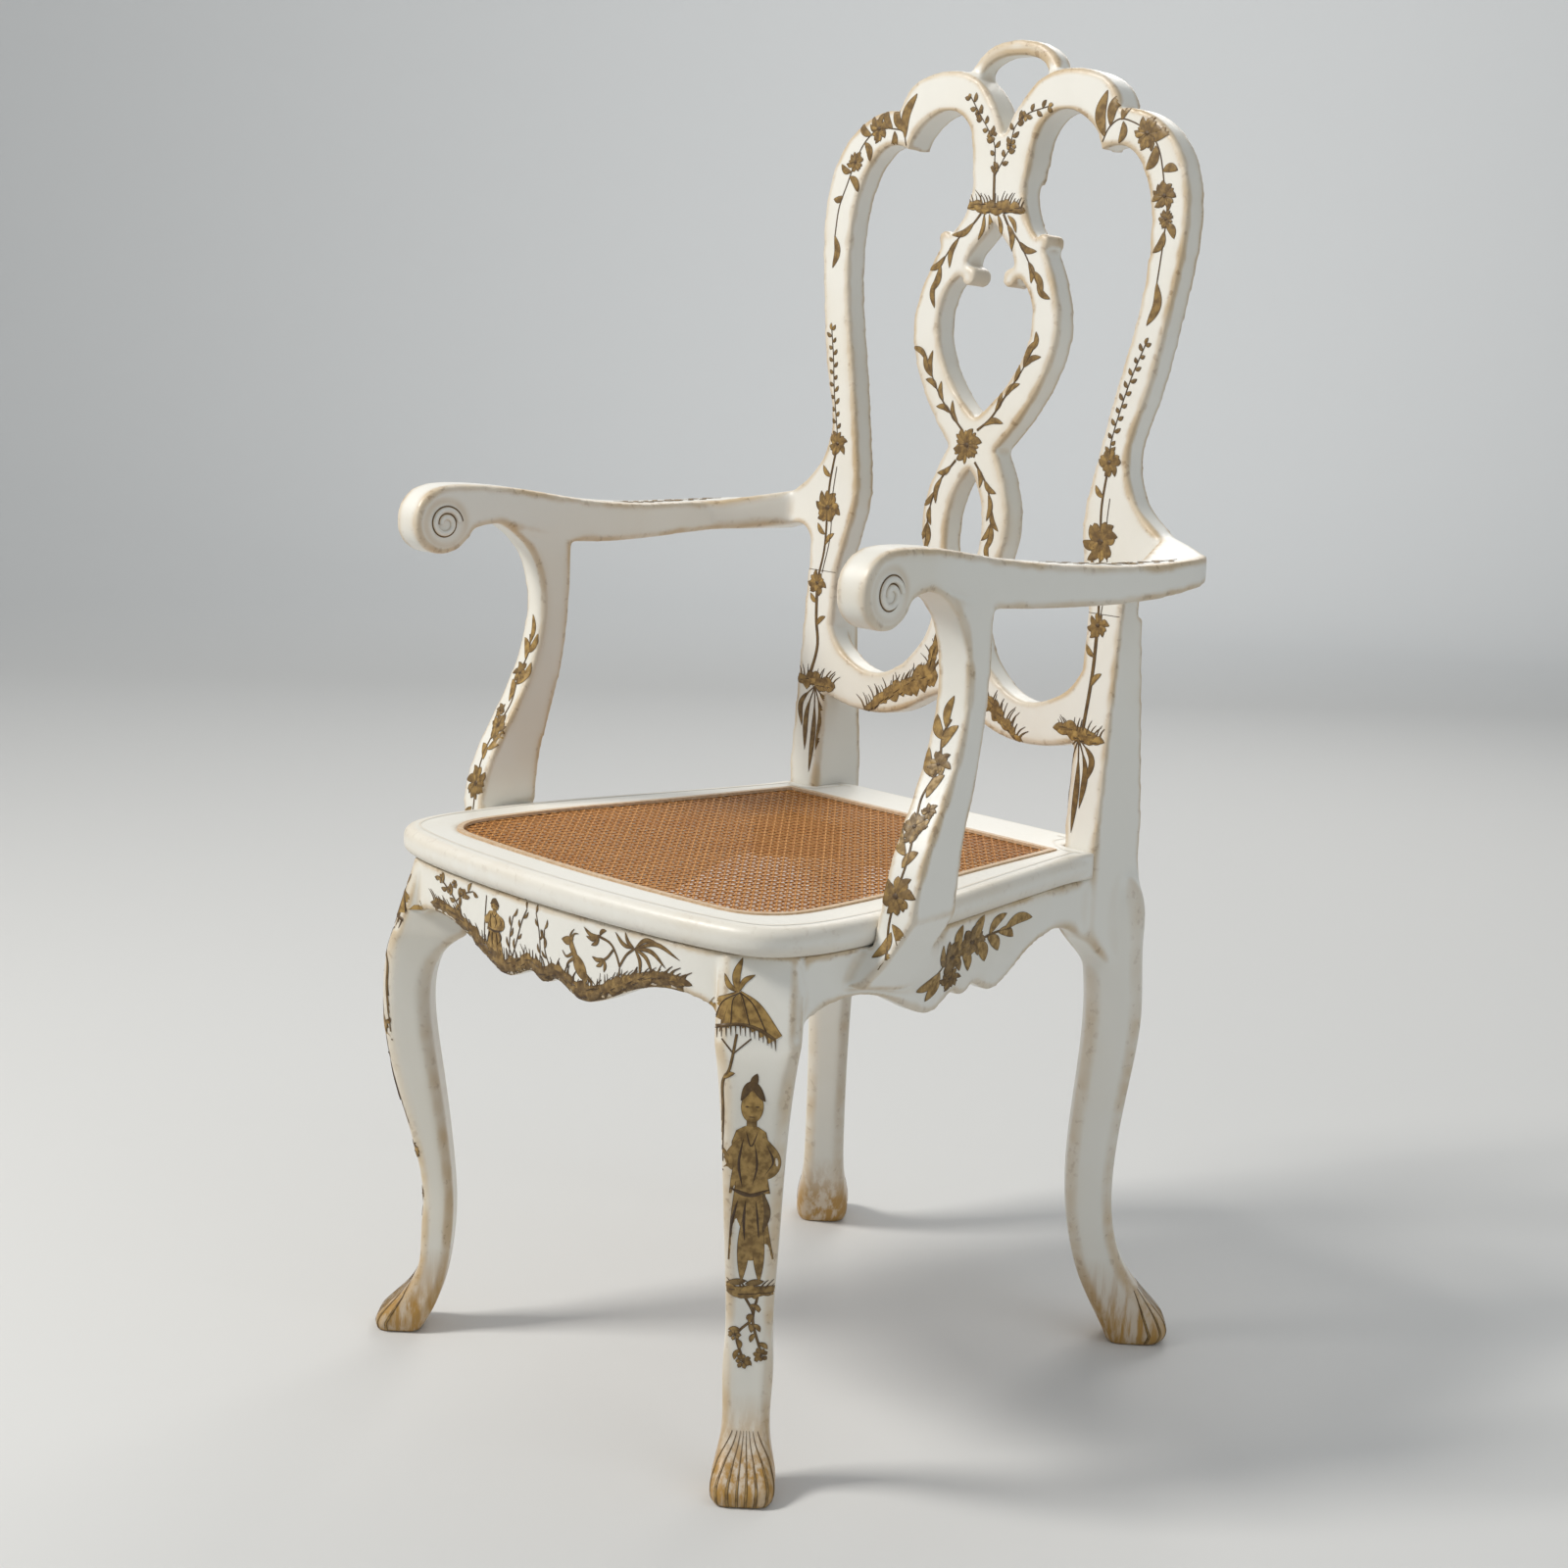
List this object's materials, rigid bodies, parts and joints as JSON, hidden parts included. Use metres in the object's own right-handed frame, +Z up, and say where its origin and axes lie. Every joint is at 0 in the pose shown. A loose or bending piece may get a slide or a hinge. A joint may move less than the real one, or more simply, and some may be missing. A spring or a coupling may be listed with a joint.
{
  "type": "armchair",
  "caption": "Open armchair with a pierced interlaced splat, scrolled arms, cabriole legs and a caned seat, painted cream with gilt landscape ornament; one person sits in it.",
  "frame": {"origin": "on the floor under the middle of the chair's box", "axes": "+Z up, -Y the way the sitter faces, +X to the chair's right seen from the front, the mirror plane is YZ"},
  "size_m": [0.5864, 0.5639, 1.1383],
  "materials": {
    "painted_wood": "aged satin cream paint with ochre glaze and gilt ornament",
    "cane": "woven honey-brown cane",
    "bare_wood": "raw beech",
    "screw_steel": "dull steel"
  },
  "bodies": {
    "root": {"arch_dowels": "bare_wood", "arm_dowels": "bare_wood", "arm_left": "painted_wood", "arm_right": "painted_wood", "arm_support_left": "painted_wood", "arm_support_right": "painted_wood", "arm_support_screws": "screw_steel", "back_rail_dowels": "bare_wood", "back_splat": "painted_wood", "back_stile_left": "painted_wood", "back_stile_right": "painted_wood", "cane_panel": "cane", "cane_spline": "cane", "corner_block_front_left": "bare_wood", "corner_block_front_right": "bare_wood", "corner_block_rear_left": "bare_wood", "corner_block_rear_right": "bare_wood", "corner_block_screws": "screw_steel", "crest_arch": "painted_wood", "crest_dowels": "bare_wood", "crest_rail": "painted_wood", "front_apron": "painted_wood", "front_apron_dowels": "bare_wood", "front_leg_left": "painted_wood", "front_leg_right": "painted_wood", "lower_back_rail": "painted_wood", "rear_apron": "painted_wood", "rear_apron_dowels": "bare_wood", "rear_leg_left": "painted_wood", "rear_leg_right": "painted_wood", "seat_frame_dowels": "bare_wood", "seat_frame_front": "painted_wood", "seat_frame_left": "painted_wood", "seat_frame_rear": "painted_wood", "seat_frame_right": "painted_wood", "seat_frame_screws": "screw_steel", "side_apron_dowels": "bare_wood", "side_apron_left": "painted_wood", "side_apron_right": "painted_wood", "splat_dowels": "bare_wood", "splice_dowels": "bare_wood", "support_dowels": "bare_wood"}
  },
  "joints": []
}
